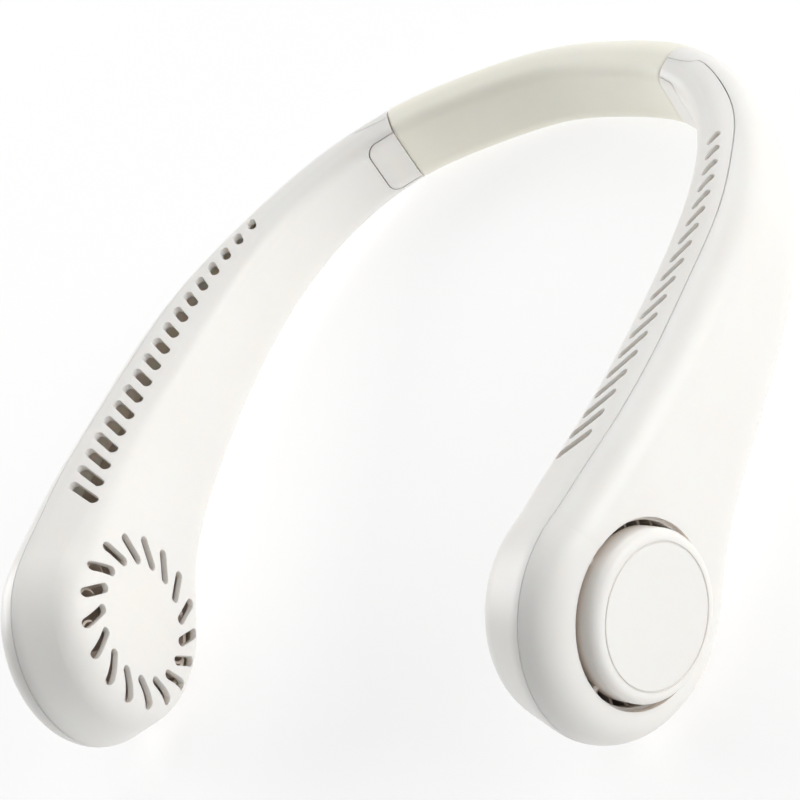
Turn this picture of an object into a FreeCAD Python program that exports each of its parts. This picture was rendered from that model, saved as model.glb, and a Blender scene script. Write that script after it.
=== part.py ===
import FreeCAD, Part
import math
import os
import Sketcher
from FreeCAD import Placement, Rotation, Vector

# Electric neck fan: a soft band behind the neck and two hinged hollow arms.
# Each arm ends in a round fan housing and blows through slots along its top edge.
# Everything is drawn in a design frame first (mirror plane X = 0, open end towards -Y,
# top edges level), then turned so that both housings and the band rest on Z = 0.

# Driving sizes in millimetres, degrees and counts
SIZES = {
    "path_half_width": 85.1,
    "path_back": 101.9,
    "bulb_turn": 12.0,
    "arm_thickness": 24.0,
    "bulb_height": 58.2,
    "edge_top": 2.0,
    "strip_slope": 16.7,
    "inner_round": 9.5,
    "outer_round": 10.2,
    "wall": 1.8,
    "end_wall": 2.0,
    "parting_gap": 0.2,
    "seat_gap": 0.25,
    "vent_count": 18,
    "vent_first": 24.25,
    "vent_pitch": 5.85,
    "vent_long": 10.7,
    "vent_short": 4.2,
    "vent_width": 2.5,
    "vent_slant": 33.0,
    "vent_depth": 11.0,
    "ring_count": 17,
    "ring_outer": 22.4,
    "ring_inner": 14.4,
    "ring_slot_width": 2.6,
    "ring_slant": 11.5,
    "cap_opening": 20.65,
    "cap_gap": 1.9,
    "cap_round": 2.2,
    "cap_line_radius": 15.9,
    "cap_line_width": 0.4,
    "cap_line_depth": 0.3,
    "cap_rise": 3.9,
    "cap_wall": 1.6,
    "cap_skirt": 2.6,
    "cap_lap": 0.7,
    "cap_flange": 1.3,
    "cap_rib_count": 4,
    "cap_rib_turn": 5.5,
    "cap_rib_width": 1.4,
    "boss_height": 1.35,
    "base_rim": 0.8,
    "base_thick": 1.0,
    "base_screw_circle": 10.2,
    "base_screw_count": 3,
    "screw_head_radius": 1.6,
    "screw_head_height": 0.9,
    "screw_radius": 0.6,
    "screw_clear": 0.15,
    "screw_length": 2.2,
    "screw_slot": 0.45,
    "run_gap": 0.5,
    "fan_gap": 1.5,
    "bush_radius": 2.5,
    "shaft_radius": 1.0,
    "shaft_fit": 0.04,
    "press_fit": 0.05,
    "stator_height": 4.0,
    "stator_hub": 1.5,
    "tooth_count": 9,
    "tooth_width": 1.3,
    "tooth_tip": 0.8,
    "coil_build": 0.6,
    "air_gap": 0.35,
    "magnet_thick": 1.0,
    "cup_radius": 10.0,
    "cup_wall": 0.65,
    "hub_wall": 1.0,
    "impeller_radius": 21.2,
    "blade_chord": 5.0,
    "blade_thick": 0.7,
    "blade_count": 27,
    "blade_lean": 24.0,
    "web_thick": 1.2,
    "rim_ring": 1.1,
    "scroll_gap": 2.2,
    "scroll_growth": 2.2,
    "guide_wall": 1.2,
    "duct_depth": 13.0,
    "cell_radius": 7.1,
    "cell_length": 50.0,
    "cell_crimp": 0.5,
    "cell_cap_radius": 2.6,
    "cell_cap_height": 1.0,
    "cell_rib": 1.6,
    "cell_fit": 0.2,
    "hinge_gap": 0.3,
    "hinge_range": 20.0,
    "hinge_spare": 3.0,
    "knuckle_radius": 2.5,
    "knuckle_height": 4.8,
    "knuckle_end_height": 3.0,
    "knuckle_clear": 0.35,
    "pin_radius": 0.9,
    "pin_fit": 0.05,
    "tongue_length": 9.0,
    "tongue_thick": 2.4,
    "tongue_round": 3.0,
    "tongue_clear": 0.3,
    "root_length": 2.4,
    "plug_length": 12.0,
    "plug_wall": 2.6,
    "strip_thick": 0.6,
    "strip_height": 8.0,
    "lead_radius": 1.1,
    "channel_clear": 0.5,
    "button_radius": 3.4,
    "button_proud": 0.9,
    "button_round": 0.6,
    "button_fit": 0.3,
    "button_flange": 0.8,
    "button_travel": 0.6,
    "stem_radius": 1.2,
    "board_length": 20.0,
    "board_height": 15.0,
    "board_thick": 1.0,
    "switch_side": 4.4,
    "switch_height": 1.1,
    "usb_width": 8.94,
    "usb_thick": 3.2,
    "usb_depth": 7.3,
    "usb_wall": 0.3,
    "usb_tongue": 0.7,
    "usb_fit": 0.2,
    "usb_recess": 0.8,
    "pipe_radius": 0.9,
    "pipe_fit": 0.15,
    "overrun": 6.0,
}

# Stations along the path from the right fan housing to the middle of the band.
# Shares follow path_half_width, path_back, arm_thickness, edge_top, bulb_height and the edge rounds.
PATH_X_SHARES = [0.9095, 0.9174, 0.9295, 0.9647, 0.9953, 1.0, 0.9894, 0.9318, 0.8284, 0.6627, 0.557,
                 0.3549, 0.1622, 0.0]
PATH_Y_SHARES = [-0.6997, -0.6737, -0.6173, -0.4603, -0.2022, 0.0049, 0.2051, 0.4377, 0.6398, 0.8126,
                 0.8783, 0.948, 0.9863, 1.0]
THICK_SHARES = [1.1, 1.1, 1.092, 1.05, 0.992, 0.992, 0.938, 0.783, 0.658, 0.596, 0.567, 0.529, 0.525,
                0.525]
TOP_SHARES = [0.75, 0.775, 0.83, 1.0, 1.0, 1.0, 1.0, 0.8, 0.6, 0.5, 0.5, 0.5, 0.5, 0.5]
DEPTH_SHARES = [1.0, 0.9993, 0.986, 0.835, 0.6735, 0.5997, 0.543, 0.471, 0.416, 0.383, 0.376, 0.371,
                0.368, 0.368]
INNER_ROUND_SHARES = [1.0, 0.96, 0.87, 0.76, 0.62, 0.53, 0.474, 0.474, 0.474, 0.474, 0.474, 0.474, 0.474,
                      0.474]
OUTER_ROUND_SHARES = [0.863, 0.863, 0.87, 0.93, 1.0, 0.98, 0.98, 0.93, 0.82, 0.72, 0.637, 0.588, 0.588,
                      0.588]
PARTING_SHARES = [0.179, 0.179, 0.18, 0.183, 0.167, 0.15, 0.157, 0.16, 0.171, 0.1, -0.121]
ARM_STATIONS = 11
BULB_THICK_SHARE = THICK_SHARES[0]

# Places along the arm, as shares of its length from fan housing to band
CELL_PLACE_SHARE = 0.37
CELL_RIB_SHARES = [-0.3, 0.3]
CONTROL_PLACE_SHARE = 0.825
CONTROL_HEIGHT_SHARE = 0.5
PIPE_PLACE_SHARE = 0.38
DUCT_LEVEL_SHARE = 0.205
DUCT_END_SHARE = 0.735
DUCT_CLOSE_SHARE = 0.765
SCROLL_TURN_SHARE = 0.79
BOARD_LOW_SHARE = 0.45
USB_TONGUE_SHARE = 0.72
USB_SETBACK_SHARE = 0.2
SWITCH_BODY_SHARE = 0.6

doc = FreeCAD.newDocument("NeckFan")
sheet = doc.addObject("Spreadsheet::Sheet", "Sizes")
for row, (name, value) in enumerate(SIZES.items(), start=1):
    sheet.set("A%d" % row, name)
    sheet.set("B%d" % row, str(value))
    sheet.setAlias("B%d" % row, name)

# Levels along the fan axis, measured from the middle of the fan housing, outwards positive
FITS = {
    "zero": "0",
    "face_level": "Sizes.arm_thickness * %r / 2" % BULB_THICK_SHARE,
    "floor_level": "-face_level + Sizes.wall",
    "roof_level": "face_level - Sizes.wall",
    "boss_level": "floor_level + Sizes.boss_height",
    "base_level": "boss_level + Sizes.base_thick",
    "head_level": "base_level + Sizes.screw_head_height",
    "cup_level": "head_level + Sizes.run_gap",
    "stator_level": "cup_level + Sizes.coil_build",
    "stator_top": "stator_level + Sizes.stator_height",
    "cup_ceiling": "stator_top + Sizes.coil_build + Sizes.run_gap",
    "cup_top": "cup_ceiling + Sizes.cup_wall",
    "hub_top": "cup_top + Sizes.hub_wall",
    "bush_top": "cup_ceiling - Sizes.run_gap",
    "flange_top": "roof_level - Sizes.seat_gap / 2",
    "flange_level": "flange_top - Sizes.cap_flange",
    "fan_low": "floor_level + Sizes.fan_gap",
    "fan_high": "flange_level - Sizes.fan_gap",
    "fan_low_ring": "fan_low + Sizes.rim_ring",
    "fan_high_ring": "fan_high - Sizes.rim_ring",
    "web_low": "(fan_low + fan_high) / 2 - Sizes.web_thick / 2",
    "web_high": "web_low + Sizes.web_thick",
    "hub_radius": "Sizes.cup_radius + Sizes.hub_wall",
    "magnet_outer": "Sizes.cup_radius - Sizes.cup_wall",
    "magnet_inner": "magnet_outer - Sizes.magnet_thick",
    "stator_radius": "magnet_inner - Sizes.air_gap",
    "tooth_end": "stator_radius - Sizes.tooth_tip",
    "stator_bore": "Sizes.bush_radius + Sizes.press_fit",
    "stator_hub_radius": "stator_bore + Sizes.stator_hub",
    "bush_bore": "Sizes.shaft_radius + Sizes.shaft_fit",
    "base_radius": "Sizes.base_screw_circle + Sizes.screw_head_radius + Sizes.base_rim",
    "boss_radius": "base_radius + Sizes.press_fit",
    "rim_inner": "Sizes.impeller_radius - Sizes.rim_ring",
    "cap_radius": "Sizes.cap_opening - Sizes.cap_gap",
    "cap_face": "cap_radius - Sizes.cap_round",
    "cap_top": "face_level + Sizes.cap_rise",
    "cap_shoulder": "cap_top - Sizes.cap_round",
    "cap_under": "cap_top - Sizes.cap_wall",
    "cap_inner": "cap_radius - Sizes.cap_wall",
    "cap_under_shoulder": "cap_shoulder - Sizes.cap_wall / 2",
    "cap_under_face": "cap_face - Sizes.cap_wall / 2",
    "cap_foot": "face_level - Sizes.cap_skirt",
    "line_inner": "Sizes.cap_line_radius - Sizes.cap_line_width / 2",
    "line_outer": "line_inner + Sizes.cap_line_width",
    "line_floor": "cap_top - Sizes.cap_line_depth",
    "line_over": "cap_top + Sizes.overrun",
    "screw_hole": "Sizes.screw_radius + Sizes.screw_clear",
    "rib_top": "cap_foot + Sizes.cap_wall / 2",
    "flange_outer": "Sizes.cap_opening + Sizes.cap_lap",
    "flange_inner": "Sizes.cap_opening - Sizes.cap_lap",
    "button_back": "-Sizes.wall - Sizes.seat_gap",
    "button_flange_back": "button_back - Sizes.button_flange",
    "button_stem_end": "button_flange_back - Sizes.button_travel",
    "button_flange_radius": "Sizes.button_radius + 2 * Sizes.button_fit + Sizes.wall / 2",
    "button_shoulder": "Sizes.button_proud - Sizes.button_round",
    "button_top_radius": "Sizes.button_radius - Sizes.button_round",
    "cell_half": "Sizes.cell_length / 2",
    "cell_start": "-cell_half",
    "cell_shoulder": "cell_half - Sizes.cell_cap_height",
    "cell_shoulder_radius": "Sizes.cell_radius - Sizes.cell_crimp",
    "cell_crimp_level": "cell_shoulder - Sizes.cell_crimp",
    "cell_crimp_start": "cell_start + Sizes.cell_crimp",
}
fits = doc.addObject("Spreadsheet::Sheet", "Fits")
for row, (name, formula) in enumerate(FITS.items(), start=1):
    fits.set("A%d" % row, name)
    fits.set("B%d" % row, "=" + formula)
    fits.setAlias("B%d" % row, name)
    doc.recompute()


def size(name):
    """Value of a driving size or of a fit worked out from them."""
    return float(sheet.get(name) if name in SIZES else fits.get(name))


def term(name):
    """Expression text that names one cell, with an optional leading minus."""
    sign = "-" if name.startswith("-") else ""
    bare = name.lstrip("-")
    return sign + ("Sizes." if bare in SIZES else "Fits.") + bare


def amount(name):
    return -size(name[1:]) if name.startswith("-") else size(name)


UP = Vector(0, 0, 1)
HALF = 0.5
OVER = size("overrun")
WALL = size("wall")
BULB_TURN = math.radians(size("bulb_turn"))
SLOPE = math.radians(size("strip_slope"))


# The path: a smooth curve through the stations, right arm, band, left arm

def station_point(index):
    x = PATH_X_SHARES[index] * size("path_half_width")
    return Vector(x, PATH_Y_SHARES[index] * size("path_back"), 0)


def mirrored(vector):
    return Vector(-vector.x, vector.y, vector.z)


right_points = [station_point(index) for index in range(len(PATH_X_SHARES))]
left_points = [mirrored(point) for point in reversed(right_points[:-1])]
start_heading = Vector(math.sin(BULB_TURN), math.cos(BULB_TURN), 0)
end_heading = Vector(math.sin(BULB_TURN), -math.cos(BULB_TURN), 0)
path = Part.BSplineCurve()
path.interpolate(Points=right_points + left_points, InitialTangent=start_heading,
                 FinalTangent=end_heading)


class Spot:
    """A place on the path with its forward direction (towards the band) and outward direction."""

    def __init__(self, point, along):
        self.point = point
        self.along = along
        self.out = Vector(along.y, -along.x, 0)

    def at(self, along, out, height):
        return self.point + self.along * along + self.out * out + UP * height


def spot_at_parameter(parameter):
    along = Vector(path.tangent(parameter)[0])
    return Spot(path.value(parameter), along.normalize())


def spot_at_distance(distance):
    return spot_at_parameter(path.parameterAtDistance(distance, path.FirstParameter))


SPOTS = [spot_at_parameter(path.parameter(point)) for point in right_points]
LEFT_SPOTS = [spot_at_parameter(path.parameter(point)) for point in left_points]
ARM_LENGTH = path.length(path.FirstParameter, path.parameter(right_points[ARM_STATIONS - 1]))
BULB = SPOTS[0]
SEAM = SPOTS[ARM_STATIONS - 1]


# Cross-section of arm and band: two edge rounds joined by sloping top and bottom strips

class Section:
    def __init__(self, index):
        self.half = THICK_SHARES[index] * size("arm_thickness") * HALF
        self.top = TOP_SHARES[index] * size("edge_top")
        self.bottom = self.top - DEPTH_SHARES[index] * size("bulb_height")
        self.inner_round = INNER_ROUND_SHARES[index] * size("inner_round")
        self.outer_round = OUTER_ROUND_SHARES[index] * size("outer_round")
        self.middle = (self.top + self.bottom) * HALF
        self.outer_u = self.half - self.outer_round
        self.inner_u = self.inner_round - self.half
        rise = self.outer_round - self.inner_round
        run = self.outer_u - self.inner_u
        drop = (rise * (1 - math.cos(SLOPE)) + run * math.sin(SLOPE)) / math.cos(SLOPE)
        self.outer_z = self.top - self.outer_round
        self.inner_z = self.outer_z + rise - drop

    def corners(self, inset):
        """Half outline above the middle as (centre u, centre z, radius, start angle, end angle)."""
        quarter = math.pi / 2
        return [
            (self.outer_u, self.outer_z, self.outer_round - inset, 0.0, quarter + SLOPE),
            (self.inner_u, self.inner_z, self.inner_round - inset, quarter + SLOPE, math.pi),
        ]

    def strip_height(self, out):
        """Height of the top strip's surface at a distance outwards from the path."""
        u = self.outer_u - self.outer_round * math.sin(SLOPE)
        z = self.outer_z + self.outer_round * math.cos(SLOPE)
        return z - (u - out) * math.tan(SLOPE)


SECTIONS = [Section(index) for index in range(len(PATH_X_SHARES))]


def section_at(distance):
    """Section nearest a distance along the path, blended between its two stations."""
    places = [path.length(path.FirstParameter, path.parameter(p)) if i else 0.0
              for i, p in enumerate(right_points)]
    for index in range(len(places) - 1):
        if distance <= places[index + 1]:
            break
    share = (distance - places[index]) / (places[index + 1] - places[index])
    blend = Section(index)
    for name in vars(blend):
        first = getattr(SECTIONS[index], name)
        setattr(blend, name, first + share * (getattr(SECTIONS[index + 1], name) - first))
    return blend


def corner_points(corner):
    u, z, radius, start, end = corner
    angles = [start, (start + end) * HALF, end]
    return [(u + radius * math.cos(angle), z + radius * math.sin(angle)) for angle in angles]


def outline(spot, section, inset):
    """Closed outline of the section on the plane across the path, eight edges."""
    upper = [corner_points(corner) for corner in section.corners(inset)]
    lower = [[(u, 2 * section.middle - z) for u, z in reversed(arc)] for arc in reversed(upper)]
    arcs = [[spot.at(0, u, z) for u, z in arc] for arc in upper + lower]
    edges = []
    for index, arc in enumerate(arcs):
        edges.append(Part.Arc(*arc).toShape())
        edges.append(Part.makeLine(arc[-1], arcs[(index + 1) % len(arcs)][0]))
    return Part.Wire(edges)


def bulb_half_face(inset):
    """Upper half of the housing's section, closed along the fan axis."""
    section = SECTIONS[0]
    arcs = [corner_points(corner) for corner in section.corners(inset)]
    arcs = [[BULB.at(0, u, z) for u, z in arc] for arc in arcs]
    axis_out = BULB.at(0, section.half - inset, section.middle)
    axis_in = BULB.at(0, inset - section.half, section.middle)
    edges = [Part.makeLine(axis_out, arcs[0][0])]
    edges.append(Part.Arc(*arcs[0]).toShape())
    edges.append(Part.makeLine(arcs[0][-1], arcs[1][0]))
    edges.append(Part.Arc(*arcs[1]).toShape())
    edges.append(Part.makeLine(arcs[1][-1], axis_in))
    edges.append(Part.makeLine(axis_in, axis_out))
    return Part.Face(Part.Wire(edges))


BULB_CENTRE = BULB.at(0, 0, SECTIONS[0].middle)
HALF_TURN = 180


def arm_solid(inset):
    """The whole right arm, or a space inside it, from the seam to the front of the housing."""
    wires = [outline(SPOTS[i], SECTIONS[i], inset) for i in range(ARM_STATIONS)]
    body = Part.makeLoft(wires, True, False)
    front = bulb_half_face(inset).revolve(BULB_CENTRE, BULB.out, HALF_TURN)
    return body.fuse(front)


# Small solids placed on the path or on the fan axis

def spot_box(spot, along, out, height):
    """Box between pairs of limits along the path, outwards and upwards."""
    corners = [(along[0], out[0]), (along[1], out[0]), (along[1], out[1]), (along[0], out[1])]
    points = [spot.at(a, o, height[0]) for a, o in corners]
    face = Part.Face(Part.makePolygon(points + points[:1]))
    return face.extrude(UP * (height[1] - height[0]))


def slot_prism(first, last, half_width, reach):
    """Slot with round ends between two points, pushed along the vector reach."""
    run = (last - first).normalize()
    side = reach.cross(run).normalize() * half_width
    edges = [Part.makeLine(first + side, last + side)]
    edges.append(Part.Arc(last + side, last + run * half_width, last - side).toShape())
    edges.append(Part.makeLine(last - side, first - side))
    edges.append(Part.Arc(first - side, first - run * half_width, first + side).toShape())
    return Part.Face(Part.Wire(edges)).extrude(reach)


FAN_UP = UP
FAN_SIDE = BULB.out.cross(FAN_UP)


def fan_point(radius, angle, level):
    turn = FAN_UP * math.cos(angle) + FAN_SIDE * math.sin(angle)
    return BULB_CENTRE + BULB.out * level + turn * radius


def fan_cylinder(radius, low, high):
    return Part.makeCylinder(radius, high - low, BULB_CENTRE + BULB.out * low, BULB.out)


def path_band(start, end, out, height, steps):
    """Upright wall that follows the path between two distances."""
    sides = []
    for offset in out:
        spots = [spot_at_distance(start + (end - start) * k / steps) for k in range(steps + 1)]
        curve = Part.BSplineCurve()
        curve.interpolate([spot.at(0, offset, height[0]) for spot in spots])
        sides.append(curve)
    edges = [curve.toShape() for curve in sides]
    edges.append(Part.makeLine(sides[0].StartPoint, sides[1].StartPoint))
    edges.append(Part.makeLine(sides[0].EndPoint, sides[1].EndPoint))
    face = Part.Face(Part.Wire(Part.__sortEdges__(edges)))
    return face.extrude(UP * (height[1] - height[0]))


# Parting of the arm: everything outside a curve that follows the path

REACH = size("bulb_height") + OVER


def parting_region(shift):
    points = []
    for index in range(ARM_STATIONS):
        offset = PARTING_SHARES[index] * 2 * SECTIONS[index].half + shift
        points.append(SPOTS[index].at(0, offset, 0))
    curve = Part.BSplineCurve()
    curve.interpolate(Points=points, InitialTangent=BULB.along, FinalTangent=SEAM.along)
    front = points[0] - BULB.along * REACH
    back = points[-1] + SEAM.along * OVER
    middle = SPOTS[ARM_STATIONS // 2]
    far = [back + SEAM.out * REACH, SPOTS[-4].at(0, REACH, 0), middle.at(0, REACH, 0),
           front + BULB.out * REACH]
    edges = [curve.toShape(), Part.makeLine(points[-1], back)]
    chain = [back] + far + [front, points[0]]
    edges += [Part.makeLine(a, b) for a, b in zip(chain, chain[1:])]
    face = Part.Face(Part.Wire(Part.__sortEdges__(edges)))
    face.translate(UP * -(REACH + OVER))
    return face.extrude(UP * 2 * (REACH + OVER))


# Hinge between band and arm: knuckles near the outer face at the seam

SEAM_SECTION = SECTIONS[ARM_STATIONS - 1]
SEAM_HALF_GAP = size("hinge_gap") * HALF
PIN_OUT = SEAM_SECTION.half - size("knuckle_radius")
HINGE_MIDDLE = SEAM_SECTION.middle
KNUCKLE_HALF = size("knuckle_height") * HALF
LUG_START = KNUCKLE_HALF + size("seat_gap")
LUG_END = LUG_START + size("knuckle_end_height")


def hinge_cylinder(radius, low, high):
    base = SEAM.at(0, PIN_OUT, HINGE_MIDDLE + low)
    return Part.makeCylinder(radius, high - low, base, UP)


def seam_block(start, end):
    wide = (-REACH, REACH)
    return spot_box(SEAM, (start, end), wide, wide)


def tongue_block(clear):
    """White tongue on the band connector, let into the arm's inner face."""
    top = SEAM_SECTION.inner_z + SEAM_SECTION.inner_round * HALF
    height = (2 * SEAM_SECTION.middle - top, top)
    low = height[0] - clear
    high = height[1] + clear
    face_out = -SEAM_SECTION.half
    back = face_out + size("tongue_thick") + clear
    rounding = size("tongue_round") + clear
    front = -size("tongue_length") - clear
    outs = (face_out - OVER, back)
    plate = spot_box(SEAM, (front + rounding, SEAM_HALF_GAP), outs, (low, high))
    middle = spot_box(SEAM, (front, SEAM_HALF_GAP), outs, (low + rounding, high - rounding))
    plate = plate.fuse(middle)
    for level in (low + rounding, high - rounding):
        base = SEAM.at(front + rounding, outs[0], level)
        plate = plate.fuse(Part.makeCylinder(rounding, outs[1] - outs[0], base, SEAM.out))
    root = spot_box(SEAM, (-size("root_length") - clear, SEAM_HALF_GAP), (outs[0], clear), (low, high))
    return plate.fuse(root)


# Shells of the right arm

arm_outer = arm_solid(0).cut(seam_block(-SEAM_HALF_GAP, OVER))
arm_space = arm_solid(WALL).cut(seam_block(-size("end_wall") - SEAM_HALF_GAP, OVER))
guide_space = arm_solid(WALL + size("seat_gap"))
guide_space = guide_space.cut(seam_block(-size("end_wall") - size("hinge_gap"), OVER))
arm_wall = arm_outer.cut(arm_space)


def vent_cutters():
    count = int(size("vent_count"))
    slant = math.radians(size("vent_slant"))
    cutters = []
    for index in range(count):
        share = index / (count - 1)
        length = size("vent_long") + share * (size("vent_short") - size("vent_long"))
        half_width = size("vent_width") * HALF
        distance = size("vent_first") + index * size("vent_pitch")
        spot = spot_at_distance(distance)
        section = section_at(distance)
        bottom = section.top - size("vent_depth")
        run = length - 2 * half_width
        first = spot.at(0, -half_width, bottom)
        last = spot.at(-run * math.sin(slant), -half_width - run * math.cos(slant), bottom)
        cutters.append(slot_prism(first, last, half_width, UP * (size("vent_depth") + OVER)))
    return cutters


def ring_cutters():
    count = int(size("ring_count"))
    slant = math.radians(size("ring_slant"))
    half_width = size("ring_slot_width") * HALF
    level = -size("face_level") - OVER
    reach = BULB.out * (OVER + 2 * WALL)
    cutters = []
    for index in range(count):
        angle = 2 * math.pi * index / count
        outer = fan_point(size("ring_outer") - half_width, angle, level)
        inner = fan_point(size("ring_inner") + half_width, angle - slant, level)
        cutters.append(slot_prism(outer, inner, half_width, reach))
    return cutters


def screw_places():
    count = int(size("base_screw_count"))
    return [2 * math.pi * index / count for index in range(count)]


# Battery cell place: a straight axis under the duct floor
CELL_SPOT = spot_at_distance(CELL_PLACE_SHARE * ARM_LENGTH)
DUCT_FLOOR = size("edge_top") - size("duct_depth")
CELL_HEIGHT = DUCT_FLOOR - size("guide_wall") - size("seat_gap") - size("cell_radius")


def cell_ribs():
    ribs = []
    keep = arm_solid(WALL * HALF)
    hollow = Part.makeCylinder(size("cell_radius") + size("cell_fit"), size("cell_length"),
                               CELL_SPOT.at(-size("cell_half"), 0, CELL_HEIGHT), CELL_SPOT.along)
    for share in CELL_RIB_SHARES:
        middle = share * size("cell_length")
        along = (middle - size("cell_rib") * HALF, middle + size("cell_rib") * HALF)
        rib = spot_box(CELL_SPOT, along, (-REACH, REACH), (-REACH, CELL_HEIGHT))
        ribs.append(rib.common(keep).cut(hollow).cut(parting_region(-size("parting_gap"))))
    return ribs


# Controls on the right arm: button in the inner face, socket in the bottom strip
CONTROL_DISTANCE = CONTROL_PLACE_SHARE * ARM_LENGTH
CONTROL_SPOT = spot_at_distance(CONTROL_DISTANCE)
CONTROL_SECTION = section_at(CONTROL_DISTANCE)
CONTROL_LEVEL = (CONTROL_SECTION.top + CONTROL_SECTION.bottom) * CONTROL_HEIGHT_SHARE
BUTTON_CENTRE = CONTROL_SPOT.at(0, -CONTROL_SECTION.half, CONTROL_LEVEL)
INWARD = CONTROL_SPOT.out * -1
SWITCH_FRONT = -CONTROL_SECTION.half - size("button_stem_end") + size("button_travel") + size("press_fit")
BOARD_FRONT = SWITCH_FRONT + size("switch_height")
BOARD_BACK = BOARD_FRONT + size("board_thick")
USB_OUT = BOARD_BACK + size("usb_thick") * HALF
USB_OPEN = CONTROL_SECTION.bottom + size("usb_recess")
PIPE_ALONG = PIPE_PLACE_SHARE * size("board_length")
PIPE_SPOT = spot_at_distance(CONTROL_DISTANCE + PIPE_ALONG)
PIPE_START = PIPE_SPOT.at(0, -section_at(CONTROL_DISTANCE + PIPE_ALONG).half, CONTROL_LEVEL)


def rounded_prism(spot, width, thick, out, low, high):
    """Upright prism with round ends, its long side along the path."""
    half = thick * HALF
    run = width * HALF - half
    return slot_prism(spot.at(-run, out, low), spot.at(run, out, low), half, UP * (high - low))


def control_cutters():
    start = BUTTON_CENTRE - CONTROL_SPOT.out * OVER
    button = Part.makeCylinder(size("button_radius") + size("button_fit"), OVER + 2 * WALL, start,
                               CONTROL_SPOT.out)
    pipe_start = PIPE_START - CONTROL_SPOT.out * OVER
    pipe = Part.makeCylinder(size("pipe_radius") + size("pipe_fit"), OVER + 2 * WALL, pipe_start,
                             CONTROL_SPOT.out)
    gap = 2 * size("usb_fit")
    low = CONTROL_SECTION.bottom - OVER
    socket = rounded_prism(CONTROL_SPOT, size("usb_width") + gap, size("usb_thick") + gap, USB_OUT, low,
                           USB_OPEN + 2 * WALL)
    return [button, pipe, socket]


def inner_shell(with_controls):
    shell = arm_wall.cut(parting_region(0))
    shell = shell.cut(vent_cutters() + ring_cutters())
    clear = size("tongue_clear")
    knuckle = hinge_cylinder(size("knuckle_radius") + size("knuckle_clear"), -LUG_START, LUG_START)
    shell = shell.cut([tongue_block(clear), knuckle])
    boss = fan_cylinder(size("boss_radius"), size("floor_level") - WALL * HALF, size("boss_level"))
    shell = shell.fuse([boss] + cell_ribs())
    low = size("base_level") - size("screw_length")
    for angle in screw_places():
        centre = fan_point(size("base_screw_circle"), angle, low)
        depth = size("screw_length") + OVER
        shell = shell.cut(Part.makeCylinder(size("screw_radius") + size("press_fit"), depth, centre,
                                            BULB.out))
    if with_controls:
        shell = shell.cut(control_cutters())
    return shell


def hinge_relief():
    """Wedge beyond the pin, so that the arm's end clears the band when it swings out."""
    reach = 2 * size("knuckle_radius") + OVER
    back = math.tan(math.radians(size("hinge_range") + size("hinge_spare"))) * reach
    corners = [SEAM.at(OVER, PIN_OUT, -REACH), SEAM.at(-SEAM_HALF_GAP, PIN_OUT, -REACH),
               SEAM.at(-SEAM_HALF_GAP - back, PIN_OUT + reach, -REACH),
               SEAM.at(OVER, PIN_OUT + reach, -REACH)]
    face = Part.Face(Part.makePolygon(corners + corners[:1]))
    return face.extrude(UP * 2 * REACH)


def outer_shell():
    shell = arm_wall.common(parting_region(size("parting_gap")))
    opening = fan_cylinder(size("cap_opening"), size("roof_level") - OVER, size("face_level") + OVER)
    seat = fan_cylinder(size("flange_outer") + size("seat_gap"), size("roof_level") - OVER,
                        size("roof_level"))
    shell = shell.cut([opening, seat, hinge_relief(), tongue_block(size("tongue_clear"))])
    lugs = []
    for low, high in ((-LUG_END, -LUG_START), (LUG_START, LUG_END)):
        lugs.append(hinge_cylinder(size("knuckle_radius"), low, high))
        web_out = (PIN_OUT - size("knuckle_radius"), PIN_OUT)
        along = (-size("knuckle_radius") - size("end_wall"), -SEAM_HALF_GAP)
        lugs.append(spot_box(SEAM, along, web_out, (HINGE_MIDDLE + low, HINGE_MIDDLE + high)))
    shell = shell.fuse(lugs)
    knuckle = hinge_cylinder(size("knuckle_radius") + size("knuckle_clear"), -LUG_START, LUG_START)
    bore = hinge_cylinder(size("pin_radius") + size("pin_fit"), -REACH, REACH)
    return shell.cut([knuckle, bore])


# Air guide: scroll round the impeller and floor of the duct under the slots

def scroll_wall():
    turns = SCROLL_TURN_SHARE * 2 * math.pi
    start = -math.pi / 2 + math.radians(size("strip_slope"))
    steps = int(size("vent_count"))
    sides = []
    for extra in (0.0, size("guide_wall")):
        points = []
        for step in range(steps + 1):
            share = step / steps
            radius = size("impeller_radius") + size("scroll_gap") + share * size("scroll_growth") + extra
            points.append(fan_point(radius, start - share * turns, -REACH))
        curve = Part.BSplineCurve()
        curve.interpolate(points)
        sides.append(curve)
    edges = [curve.toShape() for curve in sides]
    edges.append(Part.makeLine(sides[0].StartPoint, sides[1].StartPoint))
    edges.append(Part.makeLine(sides[0].EndPoint, sides[1].EndPoint))
    face = Part.Face(Part.Wire(Part.__sortEdges__(edges)))
    return face.extrude(BULB.out * 2 * REACH)


def duct_floor():
    """Floor that starts at the scroll's tongue, runs level and closes behind the last slot.

    It is drawn on the mirror plane and pushed out along the fan axis, so it slants back by the same turn.
    """
    turn = math.tan(BULB_TURN)
    tongue = fan_point(size("impeller_radius") + size("scroll_gap"),
                       -math.pi / 2 + math.radians(size("strip_slope")), 0)
    level = spot_at_distance(DUCT_LEVEL_SHARE * ARM_LENGTH).point
    end = spot_at_distance(DUCT_END_SHARE * ARM_LENGTH).point
    close = spot_at_distance(DUCT_CLOSE_SHARE * ARM_LENGTH).point
    heights = [tongue.z, DUCT_FLOOR, DUCT_FLOOR, size("edge_top") + OVER]
    line = [(point.y + point.x * turn, z) for point, z in zip([tongue, level, end, close], heights)]
    under = [(y, z - size("guide_wall")) for y, z in line]
    under[-1] = (line[-1][0] + size("guide_wall"), line[-1][1])
    under[-2] = (line[-2][0] + size("guide_wall"), under[-2][1])
    points = [Vector(0, y, z) for y, z in line + under[::-1]]
    face = Part.Face(Part.makePolygon(points + points[:1]))
    return face.extrude(BULB.out * (size("path_half_width") + 2 * REACH))


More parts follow.
